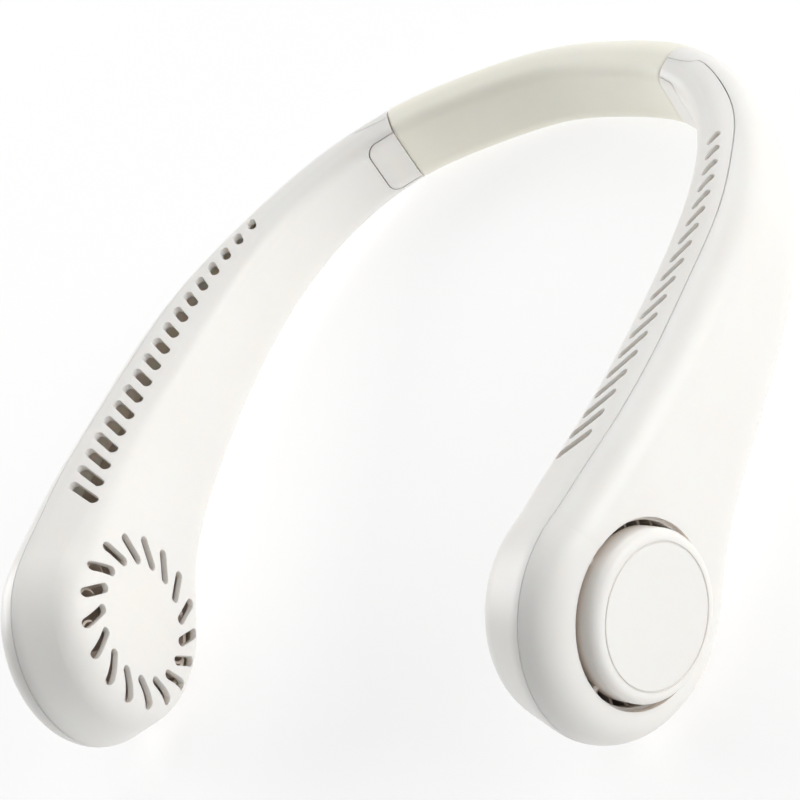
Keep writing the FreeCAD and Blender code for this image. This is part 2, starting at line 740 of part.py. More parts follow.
def air_guide():
    guide = scroll_wall().fuse(duct_floor()).common(guide_space)
    solids = sorted(guide.Solids, key=lambda solid: solid.Volume)
    return solids[-1]


# Motor pieces that stay with the arm

def base_screws():
    screws = []
    for angle in screw_places():
        foot = fan_point(size("base_screw_circle"), angle, size("base_level") - size("screw_length"))
        seat = fan_point(size("base_screw_circle"), angle, size("base_level"))
        shank = Part.makeCylinder(size("screw_radius"), size("screw_length"), foot, BULB.out)
        head = Part.makeCylinder(size("screw_head_radius"), size("screw_head_height"), seat, BULB.out)
        half = size("screw_slot") * HALF
        low = fan_point(size("base_screw_circle"), angle, size("base_level") + half)
        run = FAN_UP * size("screw_head_radius") * HALF
        for turn in (0, HALF_TURN * HALF):
            slot = slot_prism(low - run, low + run, half, BULB.out * size("screw_head_height"))
            slot.rotate(seat, BULB.out, turn)
            head = head.cut(slot)
        screws.append(shank.fuse(head))
    return Part.Compound(screws)


def coils():
    """Nine windings, each a hollow block round its tooth."""
    count = int(size("tooth_count"))
    clear = size("press_fit")
    build = size("coil_build")
    inner = size("stator_hub_radius") + clear
    outer = size("tooth_end") - clear
    low = size("stator_level")
    high = size("stator_top")
    half = size("tooth_width") * HALF
    blocks = []
    for index in range(count):
        block = Part.makeBox(outer - inner, 2 * (half + build), high - low + 2 * build,
                             Vector(inner, -half - build, low - build))
        hole = Part.makeBox(outer - inner + 2 * OVER, 2 * (half + clear), high - low + 2 * clear,
                            Vector(inner - OVER, -half - clear, low - clear))
        block = block.cut(hole)
        block = block.makeFillet(build * HALF, [e for e in block.Edges if outer_edge(e, half + build)])
        block.rotate(Vector(0, 0, 0), UP, index * 2 * HALF_TURN / count)
        blocks.append(block)
    return Part.Compound(blocks)


def outer_edge(edge, half):
    """True for the four long outer corners of a winding."""
    ends = [vertex.Point for vertex in edge.Vertexes]
    flat = abs(ends[0].x - ends[1].x) > size("press_fit")
    return flat and all(abs(abs(end.y) - half) < size("press_fit") * HALF for end in ends)


# Band: soft sleeve, spring strip, wire lead and the two connectors

def band_outline(spot, index):
    return outline(spot, SECTIONS[index], 0)


BAND_STATIONS = list(range(ARM_STATIONS - 1, len(PATH_X_SHARES)))
PLUG_END = size("plug_length") + SEAM_HALF_GAP
BAND_START = ARM_LENGTH + SEAM_HALF_GAP
BAND_END = path.length(path.FirstParameter, path.parameter(mirrored(SEAM.point))) - SEAM_HALF_GAP
BAND_STEPS = 2 * len(BAND_STATIONS)
STRIP_LOW = HINGE_MIDDLE - size("strip_height") * HALF + size("lead_radius")
STRIP_SPAN = (STRIP_LOW, STRIP_LOW + size("strip_height"))
LEAD_LEVEL = STRIP_LOW - size("channel_clear") - size("lead_radius")


def spring_strip():
    half = size("strip_thick") * HALF
    return path_band(BAND_START + size("root_length"), BAND_END - size("root_length"), (-half, half),
                     STRIP_SPAN, BAND_STEPS)


def wire_lead(radius, extra):
    spots = [spot_at_distance(BAND_START - extra + (BAND_END - BAND_START + 2 * extra) * k / BAND_STEPS)
             for k in range(BAND_STEPS + 1)]
    curve = Part.BSplineCurve()
    curve.interpolate([spot.at(0, 0, LEAD_LEVEL) for spot in spots])
    circle = Part.makeCircle(radius, spots[0].at(0, 0, LEAD_LEVEL), spots[0].along)
    return Part.Wire(curve.toShape()).makePipeShell([Part.Wire(circle)], True, True)


def channel():
    half = size("lead_radius") + size("channel_clear")
    low = LEAD_LEVEL - half
    return path_band(BAND_START - OVER, BAND_END + OVER, (-half, half),
                     (low, STRIP_SPAN[1] + size("channel_clear")), BAND_STEPS)


def connector(strip, lead_space):
    wires = [outline(SEAM, SEAM_SECTION, size("plug_wall"))]
    far = spot_at_distance(ARM_LENGTH + PLUG_END)
    wires.append(outline(far, section_at(ARM_LENGTH + PLUG_END), size("plug_wall")))
    plug = Part.makeLoft(wires, True, True).cut(seam_block(-OVER, SEAM_HALF_GAP))
    tongue = tongue_block(0).common(arm_solid(0))
    barrel = hinge_cylinder(size("knuckle_radius"), -KNUCKLE_HALF, KNUCKLE_HALF)
    levels = (HINGE_MIDDLE - KNUCKLE_HALF, HINGE_MIDDLE + KNUCKLE_HALF)
    web = spot_box(SEAM, (SEAM_HALF_GAP, size("knuckle_radius") + size("plug_wall")),
                   (0, PIN_OUT), levels)
    neck = spot_box(SEAM, (-size("root_length") * HALF, size("knuckle_radius")),
                    (size("plug_wall") - SEAM_SECTION.half, 0), levels)
    piece = plug.fuse([tongue, barrel, web, neck])
    for low, high in ((-LUG_END, -LUG_START), (LUG_START, LUG_END)):
        spare = size("seat_gap")
        room = hinge_cylinder(size("knuckle_radius") + size("knuckle_clear"), low - spare, high + spare)
        piece = piece.cut(room)
    bore = hinge_cylinder(size("pin_radius"), -REACH, REACH)
    return piece.cut([bore, strip, lead_space])


def sleeve(connectors, lead_space):
    wires = [band_outline(SPOTS[i], i) for i in BAND_STATIONS]
    for step, index in enumerate(reversed(BAND_STATIONS[:-1])):
        wires.append(band_outline(LEFT_SPOTS[step], index))
    body = Part.makeLoft(wires, True, False)
    end = seam_block(-OVER, SEAM_HALF_GAP)
    room = hinge_cylinder(size("knuckle_radius") + size("knuckle_clear"), -LUG_END - size("seat_gap"),
                          LUG_END + size("seat_gap"))
    return body.cut([end, flipped(end), room, flipped(room), lead_space] + connectors)


def flipped(shape):
    """Mirror image across the plane between the two arms."""
    return shape.mirror(Vector(0, 0, 0), Vector(1, 0, 0))


# Where everything comes to rest: housings and band on one plane

def rest_turn():
    section = SECTIONS[-1]
    dy = right_points[-1].y + section.outer_u - BULB_CENTRE.y
    dz = section.bottom - BULB_CENTRE.z
    radius = size("bulb_height") * HALF
    lean = math.atan2(dz, dy) + math.asin(radius / math.hypot(dy, dz))
    return Rotation(Vector(1, 0, 0), -math.degrees(lean))


REST_TURN = rest_turn()
nodes = []


def finish(obj, label):
    obj.Label = label
    nodes.append(obj)
    return obj


def plain(label, shape):
    """Node from a solid drawn in the design frame."""
    solids = shape.Solids
    obj = doc.addObject("Part::Feature", label)
    obj.Shape = solids[0] if len(solids) == 1 else Part.Compound(solids)
    obj.Placement = Placement(Vector(0, 0, 0), Rotation())
    return finish(obj, label)


# Bodies with sketches bound to the sheets

def origin_plane(body, role):
    return [item for item in body.Origin.OriginFeatures if item.Role == role][0]


def bound_sketch(body, name, role, points):
    """Closed polygon whose corners are named cells."""
    sketch = body.newObject("Sketcher::SketchObject", name)
    sketch.AttachmentSupport = (origin_plane(body, role), [""])
    sketch.MapMode = "FlatFace"
    count = len(points)
    places = [Vector(amount(x), amount(y), 0) for x, y in points]
    for index in range(count):
        line = Part.LineSegment(places[index], places[(index + 1) % count])
        sketch.addGeometry(line, False)
    for index in range(count):
        sketch.addConstraint(Sketcher.Constraint("Coincident", index, 2, (index + 1) % count, 1))
    for index, corner in enumerate(points):
        for kind, letter, name_ in (("DistanceX", "a", corner[0]), ("DistanceY", "b", corner[1])):
            number = sketch.addConstraint(Sketcher.Constraint(kind, -1, 1, index, 1, amount(name_)))
            tag = "corner%d%s" % (index, letter)
            sketch.renameConstraint(number, tag)
            sketch.setExpression("Constraints." + tag, term(name_))
    return sketch


def turned_body(label, points):
    """Body of revolution about its own Z axis."""
    body = doc.addObject("PartDesign::Body", label)
    sketch = bound_sketch(body, label + "_profile", "XZ_Plane", points)
    turn = body.newObject("PartDesign::Revolution", label + "_turn")
    turn.Profile = sketch
    turn.ReferenceAxis = (sketch, ["V_Axis"])
    turn.Angle = 2 * HALF_TURN
    body.Tip = turn
    doc.recompute()
    return finish(body, label)


def add_turn(body, name, points):
    """Further ring turned about the same axis."""
    sketch = bound_sketch(body, body.Label + "_" + name + "_profile", "XZ_Plane", points)
    turn = body.newObject("PartDesign::Revolution", body.Label + "_" + name)
    turn.Profile = sketch
    turn.ReferenceAxis = (sketch, ["V_Axis"])
    turn.Angle = 2 * HALF_TURN
    body.Tip = turn
    doc.recompute()
    return body


def add_line(body, name, points):
    """Fine groove turned into the body about the same axis."""
    sketch = bound_sketch(body, body.Label + "_" + name + "_profile", "XZ_Plane", points)
    groove = body.newObject("PartDesign::Groove", body.Label + "_" + name)
    groove.Profile = sketch
    groove.ReferenceAxis = (sketch, ["V_Axis"])
    groove.Angle = 2 * HALF_TURN
    body.Tip = groove
    doc.recompute()
    return body


def round_rim(body, radius, level, rounding):
    """Round off the circular edge found at a radius and a level."""
    near = size("press_fit")
    turned_shape = body.Tip
    numbers = []
    for number, edge in enumerate(turned_shape.Shape.Edges, start=1):
        ends = [vertex.Point for vertex in edge.Vertexes]
        if all(abs(math.hypot(e.x, e.y) - size(radius)) < near and abs(e.z - size(level)) < near
               for e in ends):
            numbers.append("Edge%d" % number)
    rim = body.newObject("PartDesign::Fillet", body.Label + "_rim")
    rim.Base = (turned_shape, numbers)
    rim.setExpression("Radius", term(rounding))
    body.Tip = rim
    doc.recompute()
    return body


def add_spokes(body, places, low, high, count):
    """Pad a closed outline between two levels and repeat it round the Z axis."""
    sketch = body.newObject("Sketcher::SketchObject", body.Label + "_spoke")
    sketch.AttachmentSupport = (origin_plane(body, "XY_Plane"), [""])
    sketch.MapMode = "FlatFace"
    sketch.setExpression("AttachmentOffset.Base.z", term(low))
    sketch.addGeometry(places, False)
    pad = body.newObject("PartDesign::Pad", body.Label + "_pad")
    pad.Profile = sketch
    pad.setExpression("Length", "%s - (%s)" % (term(high), term(low)))
    body.Tip = pad
    doc.recompute()
    return repeat_round(body, pad, count)


def add_holes(body, circle, radius, high, count):
    """Round holes on a circle, cut down through the body from a level."""
    sketch = body.newObject("Sketcher::SketchObject", body.Label + "_hole_outline")
    sketch.AttachmentSupport = (origin_plane(body, "XY_Plane"), [""])
    sketch.MapMode = "FlatFace"
    sketch.setExpression("AttachmentOffset.Base.z", term(high))
    sketch.addGeometry(Part.Circle(Vector(size(circle), 0, 0), UP, size(radius)), False)
    sketch.addConstraint(Sketcher.Constraint("PointOnObject", 0, 3, -1))
    place = sketch.addConstraint(Sketcher.Constraint("DistanceX", -1, 1, 0, 3, size(circle)))
    sketch.renameConstraint(place, "place")
    sketch.setExpression("Constraints.place", term(circle))
    width = sketch.addConstraint(Sketcher.Constraint("Radius", 0, size(radius)))
    sketch.renameConstraint(width, "width")
    sketch.setExpression("Constraints.width", term(radius))
    hole = body.newObject("PartDesign::Pocket", body.Label + "_hole")
    hole.Profile = sketch
    hole.Type = "ThroughAll"
    body.Tip = hole
    doc.recompute()
    return repeat_round(body, hole, count)


def repeat_round(body, feature, count):
    """Repeat a feature evenly round the Z axis."""
    ring = body.newObject("PartDesign::PolarPattern", body.Label + "_ring")
    ring.Originals = [feature]
    axis = [item for item in body.Origin.OriginFeatures if item.Role == "Z_Axis"][0]
    ring.Axis = (axis, [""])
    ring.Angle = 2 * HALF_TURN
    ring.setExpression("Occurrences", term(count))
    body.Tip = ring
    doc.recompute()
    return body


def closed_lines(corners):
    return [Part.LineSegment(a, b) for a, b in zip(corners, corners[1:] + corners[:1])]


def blade_lines(side):
    """Forward-curved blade from the open middle of the fan to its rim, as two arcs."""
    outer = size("impeller_radius") - size("blade_thick") * HALF
    inner = outer - size("blade_chord")
    lean = math.radians(size("blade_lean")) * side
    half = size("blade_thick") * HALF

    def place(radius, angle):
        return Vector(radius * math.cos(angle), radius * math.sin(angle), 0)

    tip = place(outer, lean * HALF)
    root = place(inner, 0)
    bow = place((outer + inner) * HALF, 0)
    across = Vector(-(tip - root).y, (tip - root).x, 0).normalize() * half
    corners = [root + across, tip + across, tip - across, root - across]
    return [Part.Arc(corners[0], bow + across, corners[1]), Part.LineSegment(corners[1], corners[2]),
            Part.Arc(corners[2], bow - across, corners[3]), Part.LineSegment(corners[3], corners[0])]


def rib_lines(side):
    half = size("cap_rib_width") * HALF
    inner = size("cap_inner") + size("cap_wall") * HALF
    outer = size("cap_opening") - size("cap_lap") * HALF
    corners = [Vector(inner, -half, 0), Vector(outer, -half, 0), Vector(outer, half, 0),
               Vector(inner, half, 0)]
    turn = Rotation(UP, side * size("cap_rib_turn"))
    return closed_lines([turn.multVec(corner) for corner in corners])


def tooth_lines():
    half = size("tooth_width") * HALF
    inner = size("stator_hub_radius") - size("stator_hub") * HALF
    neck = size("tooth_end")
    end = size("stator_radius")
    wide = end * math.sin(math.pi / size("tooth_count")) - size("air_gap")
    flat = math.sqrt(end * end - wide * wide)
    return closed_lines([Vector(inner, -half, 0), Vector(neck, -half, 0), Vector(neck, -wide, 0),
                         Vector(flat, -wide, 0), Vector(end, 0, 0), Vector(flat, wide, 0),
                         Vector(neck, wide, 0), Vector(neck, half, 0), Vector(inner, half, 0)])


def fan_placement(side):
    """Frame of a fan: Z outwards along its axis, X upwards."""
    outward = BULB.out if side > 0 else mirrored(BULB.out)
    centre = BULB_CENTRE if side > 0 else mirrored(BULB_CENTRE)
    turn = Rotation(UP, outward.cross(UP), outward, "ZXY")
    return Placement(centre, turn)


def ring_points(inner, outer, low, high):
    return [(inner, low), (outer, low), (outer, high), (inner, high)]


def fan_bodies(name, side):
    frame = fan_placement(side)
    made = []
    cap = turned_body(name + "_intake_cap", [
        ("cap_inner", "cap_foot"), ("cap_radius", "cap_foot"), ("cap_radius", "cap_top"),
        ("zero", "cap_top"), ("zero", "cap_under"), ("cap_under_face", "cap_under"),
        ("cap_inner", "cap_under_shoulder")])
    round_rim(cap, "cap_radius", "cap_top", "cap_round")
    add_line(cap, "line", ring_points("line_inner", "line_outer", "line_floor", "line_over"))
    add_spokes(cap, rib_lines(side), "flange_level", "rib_top", "cap_rib_count")
    add_turn(cap, "flange", ring_points("flange_inner", "flange_outer", "flange_level", "flange_top"))
    made.append(cap)
    base = turned_body(name + "_motor_base",
                       ring_points("stator_bore", "base_radius", "boss_level", "base_level"))
    made.append(add_holes(base, "base_screw_circle", "screw_hole", "base_level", "base_screw_count"))
    made.append(turned_body(name + "_motor_bush",
                            ring_points("bush_bore", "bush_radius", "boss_level", "bush_top")))
    stator = turned_body(name + "_stator_core", ring_points("stator_bore", "stator_hub_radius",
                                                            "stator_level", "stator_top"))
    made.append(add_spokes(stator, tooth_lines(), "stator_level", "stator_top", "tooth_count"))
    made.append(turned_body(name + "_rotor_cup", [
        ("shaft_radius", "cup_ceiling"), ("magnet_outer", "cup_ceiling"), ("magnet_outer", "cup_level"),
        ("cup_radius", "cup_level"), ("cup_radius", "cup_top"), ("shaft_radius", "cup_top")]))
    made.append(turned_body(name + "_magnet_ring",
                            ring_points("magnet_inner", "magnet_outer", "stator_level", "stator_top")))
    made.append(turned_body(name + "_rotor_shaft", ring_points("zero", "shaft_radius", "boss_level",
                                                               "hub_top")))
    wheel = turned_body(name + "_impeller", [
        ("shaft_radius", "cup_top"), ("cup_radius", "cup_top"), ("cup_radius", "cup_level"),
        ("hub_radius", "cup_level"), ("hub_radius", "web_low"), ("impeller_radius", "web_low"),
        ("impeller_radius", "web_high"), ("hub_radius", "web_high"), ("hub_radius", "hub_top"),
        ("shaft_radius", "hub_top")])
    made.append(add_spokes(wheel, blade_lines(side), "fan_low", "fan_high", "blade_count"))
    add_turn(wheel, "low_ring", ring_points("rim_inner", "impeller_radius", "fan_low", "fan_low_ring"))
    add_turn(wheel, "high_ring", ring_points("rim_inner", "impeller_radius", "fan_high_ring", "fan_high"))
    for body in made:
        body.Placement = frame
    return made


# Electronics of the right arm

def control_board():
    low = USB_OPEN + BOARD_LOW_SHARE * size("usb_depth")
    half = size("board_length") * HALF
    return spot_box(CONTROL_SPOT, (-half, half), (BOARD_FRONT, BOARD_BACK),
                    (low, low + size("board_height")))


def button_switch():
    half = size("switch_side") * HALF
    body_front = BOARD_FRONT - SWITCH_BODY_SHARE * size("switch_height")
    body = spot_box(CONTROL_SPOT, (-half, half), (body_front, BOARD_FRONT),
                    (CONTROL_LEVEL - half, CONTROL_LEVEL + half))
    start = CONTROL_SPOT.at(0, SWITCH_FRONT, CONTROL_LEVEL)
    plunger = Part.makeCylinder(size("stem_radius"), size("switch_height"), start, CONTROL_SPOT.out)
    return body.fuse(plunger)


def usb_socket():
    width = size("usb_width")
    thick = size("usb_thick")
    wall = 2 * size("usb_wall")
    back = USB_OPEN + size("usb_depth")
    can = rounded_prism(CONTROL_SPOT, width, thick, USB_OUT, USB_OPEN, back)
    hollow = rounded_prism(CONTROL_SPOT, width - wall, thick - wall, USB_OUT, USB_OPEN - OVER,
                           back - size("usb_wall"))
    half = USB_TONGUE_SHARE * width * HALF
    leaf = size("usb_tongue") * HALF
    tongue = spot_box(CONTROL_SPOT, (-half, half), (USB_OUT - leaf, USB_OUT + leaf),
                      (USB_OPEN + USB_SETBACK_SHARE * size("usb_depth"), back - size("usb_wall") * HALF))
    return can.cut(hollow).fuse(tongue)


def light_pipe():
    depth = (PIPE_START - CONTROL_SPOT.point).dot(CONTROL_SPOT.out)
    length = BOARD_FRONT - size("press_fit") - depth
    return Part.makeCylinder(size("pipe_radius"), length, PIPE_START, CONTROL_SPOT.out)


# Nodes: the band first

strip = spring_strip()
lead = wire_lead(size("lead_radius"), 0)
lead_room = wire_lead(size("lead_radius") + size("press_fit"), OVER)
right_connector = connector(strip, lead_room)
left_connector = flipped(right_connector)
soft = sleeve([right_connector, left_connector], channel())
plain("band_sleeve", soft)
plain("band_spring_strip", strip)
plain("band_wire_lead", lead)
plain("right_band_connector", right_connector)
plain("left_band_connector", left_connector)
for name, flip in (("right", False), ("left", True)):
    pin = doc.addObject("Part::Cylinder", name + "_hinge_pin")
    pin.setExpression("Radius", term("pin_radius"))
    pin.setExpression("Height", "%s + 2 * (%s + %s)" % (term("knuckle_height"), term("seat_gap"),
                                                       term("knuckle_end_height")))
    foot = SEAM.at(0, PIN_OUT, HINGE_MIDDLE - LUG_END)
    pin.Placement = Placement(mirrored(foot) if flip else foot, Rotation())
    finish(pin, name + "_hinge_pin")

# Then the two arms
plain("right_outer_shell", outer_shell())
plain("left_outer_shell", flipped(nodes[-1].Shape))
plain("right_inner_shell", inner_shell(True))
plain("left_inner_shell", flipped(inner_shell(False)))
plain("right_air_guide", air_guide())
plain("left_air_guide", flipped(nodes[-1].Shape))
plain("right_base_screws", base_screws())
plain("left_base_screws", flipped(nodes[-1].Shape))
for name, side in (("right", 1), ("left", -1)):
    fan_bodies(name, side)
    winding = plain(name + "_stator_coils", coils())
    winding.Placement = fan_placement(side)
    cell = turned_body(name + "_battery_cell", [
        ("zero", "cell_start"), ("cell_shoulder_radius", "cell_start"), ("cell_radius", "cell_crimp_start"),
        ("cell_radius", "cell_crimp_level"), ("cell_shoulder_radius", "cell_shoulder"),
        ("cell_cap_radius", "cell_shoulder"), ("cell_cap_radius", "cell_half"), ("zero", "cell_half")])
    centre = CELL_SPOT.at(0, 0, CELL_HEIGHT)
    along = CELL_SPOT.along
    if side < 0:
        centre = mirrored(centre)
        along = mirrored(along)
    cell.Placement = Placement(centre, Rotation(UP, along.cross(UP), along, "ZXY"))

# Controls
plain("control_board", control_board())
plain("button_switch", button_switch())
plain("usb_c_socket", usb_socket())
plain("light_pipe", light_pipe())
button = turned_body("power_button", [
    ("zero", "button_stem_end"), ("stem_radius", "button_stem_end"), ("stem_radius", "button_flange_back"),
    ("button_flange_radius", "button_flange_back"), ("button_flange_radius", "button_back"),
    ("button_radius", "button_back"), ("button_radius", "button_shoulder"),
    ("button_top_radius", "button_proud"), ("zero", "button_proud")])
button.Placement = Placement(BUTTON_CENTRE, Rotation(UP, INWARD.cross(UP), INWARD, "ZXY"))

# Turn everything to its rest and bring the middle of its footprint to the origin
doc.recompute()
turned = Placement(Vector(0, 0, 0), REST_TURN)
boxes = []
for obj in nodes:
    copy = obj.Shape.copy()
    copy.Placement = turned.multiply(copy.Placement)
    boxes.append(copy.optimalBoundingBox(True, False))
lift = Vector(-(min(b.XMin for b in boxes) + max(b.XMax for b in boxes)) * HALF,
              -(min(b.YMin for b in boxes) + max(b.YMax for b in boxes)) * HALF,
              -min(b.ZMin for b in boxes))
rest = Placement(lift, REST_TURN)
for obj in nodes:
    obj.Placement = rest.multiply(obj.Placement)
doc.recompute()

# Nothing is written unless every piece is sound
failed = [obj.Name for obj in doc.Objects if set(obj.State) & {"Invalid", "Error"}]
failed += [obj.Label for obj in nodes if obj.Shape.isNull() or not obj.Shape.isValid()]
if failed:
    raise RuntimeError("unsound: " + ", ".join(failed))
os.makedirs("parts", exist_ok=True)
for obj in nodes:
    obj.Shape.exportStep("parts/%s.step" % obj.Label)
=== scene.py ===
import math

import bmesh
import bpy
import numpy as np
from mathutils import Matrix, Vector


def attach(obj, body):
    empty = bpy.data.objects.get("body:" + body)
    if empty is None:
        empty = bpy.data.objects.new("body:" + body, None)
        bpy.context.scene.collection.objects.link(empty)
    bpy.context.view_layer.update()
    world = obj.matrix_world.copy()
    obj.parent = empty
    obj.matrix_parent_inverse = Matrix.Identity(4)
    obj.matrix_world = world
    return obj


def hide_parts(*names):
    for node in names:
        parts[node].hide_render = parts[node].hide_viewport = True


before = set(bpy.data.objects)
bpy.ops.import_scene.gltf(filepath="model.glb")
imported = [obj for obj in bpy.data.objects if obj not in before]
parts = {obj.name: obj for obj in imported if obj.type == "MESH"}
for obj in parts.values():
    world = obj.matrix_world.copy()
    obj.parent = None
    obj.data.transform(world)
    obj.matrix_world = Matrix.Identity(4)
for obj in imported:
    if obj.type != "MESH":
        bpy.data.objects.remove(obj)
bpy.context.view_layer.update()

MM = 0.001

# The part lies on its two fan housings and its band. Its own upright frame leans by this much.
LEAN = math.radians(-12.018)
LIFT = Vector((0.0, 0.067, 41.381)) * MM


def at_rest(x, y, z):
    """A point of the upright design frame, in millimetres, where the part lies."""
    return Matrix.Rotation(LEAN, 3, "X") @ (Vector((x, y, z)) * MM) + LIFT


# Shader building. The Mix node's colour sockets share their names with others, so they go by number.

MIX_SHARE = 0
MIX_FIRST = 6
MIX_SECOND = 7
MIX_RESULT = 2
SOFT_SAMPLES = 6


class Value:
    """A socket that can be used in sums. Each sum adds a Math node."""

    def __init__(self, finish, socket):
        self.finish = finish
        self.socket = socket

    def sum_with(self, operation, first, second):
        return self.finish.node("ShaderNodeMath", {"operation": operation}, {0: first, 1: second})

    def __add__(self, other):
        return self.sum_with("ADD", self, other)

    def __radd__(self, other):
        return self.sum_with("ADD", other, self)

    def __sub__(self, other):
        return self.sum_with("SUBTRACT", self, other)

    def __rsub__(self, other):
        return self.sum_with("SUBTRACT", other, self)

    def __mul__(self, other):
        return self.sum_with("MULTIPLY", self, other)

    def __rmul__(self, other):
        return self.sum_with("MULTIPLY", other, self)

    def clipped(self, low, high):
        """Smooth step: 0 below low and 1 above high."""
        return self.finish.node("ShaderNodeMapRange", {"interpolation_type": "SMOOTHSTEP", "clamp": True},
                                {"Value": self, "From Min": low, "From Max": high})


class Finish:
    """One material: a Principled shader and the nodes that feed it."""

    def __init__(self, name, **constants):
        self.material = bpy.data.materials.new(name)
        self.material.use_nodes = True
        self.tree = self.material.node_tree
        self.shader = next(n for n in self.tree.nodes if n.type == "BSDF_PRINCIPLED")
        for socket, value in constants.items():
            self.shader.inputs[socket.replace("_", " ").title().replace("Ior", "IOR")].default_value = value

    def node(self, kind, settings=None, sockets=None, out=0):
        made = self.tree.nodes.new(kind)
        for name, value in (settings or {}).items():
            setattr(made, name, value)
        for key, value in (sockets or {}).items():
            self.feed(made.inputs[key], value)
        return Value(self, made.outputs[out])

    def feed(self, socket, value):
        if isinstance(value, Value):
            self.tree.links.new(value.socket, socket)
        elif isinstance(value, tuple) and len(value) == 3 and socket.type == "RGBA":
            socket.default_value = (*value, 1.0)
        else:
            socket.default_value = value

    def surface(self, **sockets):
        for name, value in sockets.items():
            self.feed(self.shader.inputs[name.replace("_", " ").title()], value)
        return self.material

    def place(self):
        return self.node("ShaderNodeTexCoord", out="Object")

    def stretched(self, place, scale, turn=(0.0, 0.0, 0.0)):
        return self.node("ShaderNodeMapping", {}, {"Vector": place, "Scale": scale, "Rotation": turn})

    def noise(self, place, scale, detail=3.0, roughness=0.5):
        return self.node("ShaderNodeTexNoise", {}, {"Vector": place, "Scale": scale, "Detail": detail,
                                                    "Roughness": roughness})

    def mixed(self, share, first, second):
        """Colour between first and second."""
        return self.node("ShaderNodeMix", {"data_type": "RGBA"},
                         {MIX_SHARE: share, MIX_FIRST: first, MIX_SECOND: second}, out=MIX_RESULT)

    def bumped(self, height, distance, strength=1.0, normal=None):
        sockets = {"Height": height, "Distance": distance, "Strength": strength}
        if normal is not None:
            sockets["Normal"] = normal
        return self.node("ShaderNodeBump", {}, sockets)

    def softened(self, radius):
        """Normal that rounds each sharp edge by radius."""
        return self.node("ShaderNodeBevel", {"samples": SOFT_SAMPLES}, {"Radius": radius})

    def openness(self, reach, own_only=False):
        """1 in the open and 0 where walls stand all round within reach."""
        return self.node("ShaderNodeAmbientOcclusion", {"samples": SOFT_SAMPLES, "only_local": own_only},
                         {"Distance": reach}, out="AO")


# Finishes

SHELL_PALE = (0.938, 0.908, 0.868)
SHELL_SHADE = (0.915, 0.882, 0.838)
# Dusty darker tone for hollows: part dust, part painted shade where occlusion darkens creases and parting
# edges.
DUST_AND_SHADE = tuple(0.72 * part * warm for part, warm in zip(SHELL_SHADE, (1.0, 0.96, 0.9)))
# Painted shade: dark tan for the deep slot walls, which are white plastic lying in shadow.
PAINTED_SLOT_SHADE = (0.70, 0.58, 0.48)
HOLLOW_REACH = 2.2 * MM
SEAM_REACH = 0.6 * MM
SLOT_REACH = 5.0 * MM
SILICONE_PALE = (0.955, 0.935, 0.83)
SILICONE_SHADE = (0.93, 0.905, 0.79)


def moulded(name, rough, grain, edge):
    """Satin moulded plastic: fine eroded grain, faint flow clouds, soft moulded edges, a little dust mixed
    with painted shade in the hollows, painted dark tan shade deep in the slots, and clean pale walls in the
    tight seams."""
    f = Finish(name, specular_ior_level=0.45, ior=1.46, subsurface_weight=0.4, subsurface_scale=2.5 * MM)
    f.shader.inputs["Subsurface Radius"].default_value = (1.0, 0.80, 0.68)
    place = f.place()
    clouds = f.noise(place, 26.0, 4.0, 0.55).clipped(0.35, 0.7)
    fine = f.noise(place, 2600.0, 2.0, 0.6)
    rubbed = f.noise(place, 90.0, 5.0, 0.6)
    out_of_seams = f.openness(SEAM_REACH).clipped(0.35, 0.85)
    in_hollows = 1 - f.openness(HOLLOW_REACH, own_only=True).clipped(0.15, 0.70)
    in_slots = 1 - f.openness(SLOT_REACH).clipped(0.06, 0.40)
    colour = f.mixed(clouds * 0.55, SHELL_PALE, SHELL_SHADE)
    # Hollows darken towards the dusty tone by occlusion: part dust and part painted shade; tight seams are
    # left clean.
    colour = f.mixed(in_hollows * (0.25 + 0.4 * rubbed) * out_of_seams, colour, DUST_AND_SHADE)
    # Painted shade: deep slots turn dark tan where little light reaches the white walls.
    colour = f.mixed(in_slots * out_of_seams, colour, PAINTED_SLOT_SHADE)
    return f.surface(base_color=colour,
                     roughness=rough + 0.10 * (rubbed - 0.5) + 0.05 * (fine - 0.5),
                     normal=f.bumped(fine, grain, 0.35, f.softened(edge)))


def silicone(name):
    """Soft cream rubber: matt skin, slightly cloudy colour, very fine orange-peel."""
    f = Finish(name, specular_ior_level=0.35, ior=1.41, subsurface_weight=0.18,
               subsurface_scale=2.0 * MM, sheen_weight=0.06, sheen_roughness=0.5)
    f.shader.inputs["Subsurface Radius"].default_value = (1.0, 0.82, 0.5)
    place = f.place()
    clouds = f.noise(place, 40.0, 4.0, 0.6).clipped(0.3, 0.7)
    peel = f.noise(place, 1500.0, 2.0, 0.55)
    worn = f.noise(place, 130.0, 4.0, 0.6)
    colour = f.mixed(clouds * 0.5, SILICONE_PALE, SILICONE_SHADE)
    return f.surface(base_color=colour, roughness=0.5 + 0.16 * (worn - 0.5),
                     normal=f.bumped(peel, 0.02 * MM, 0.5))


def plain_moulding(name, colour, dark, rough, grain):
    """Hidden mouldings: duller plastic with flow marks."""
    f = Finish(name, specular_ior_level=0.4)
    place = f.place()
    flow = f.noise(f.stretched(place, (1.0, 1.0, 0.3)), 120.0, 4.0, 0.6)
    fine = f.noise(place, 2200.0, 2.0)
    return f.surface(base_color=f.mixed(flow.clipped(0.3, 0.75), colour, dark),
                     roughness=rough + 0.12 * (flow - 0.5), normal=f.bumped(fine, grain, 0.4))


def metal(name, colour, dull, rough, streak):
    """Rolled or turned metal with drawn streaks and light staining."""
    f = Finish(name, metallic=1.0)
    place = f.place()
    lines = f.noise(f.stretched(place, streak), 900.0, 3.0, 0.65)
    stain = f.noise(place, 150.0, 4.0, 0.6).clipped(0.45, 0.75)
    return f.surface(base_color=f.mixed(stain * 0.5, colour, dull), roughness=rough + 0.18 * (lines - 0.5),
                     normal=f.bumped(lines, 0.01 * MM, 0.4))


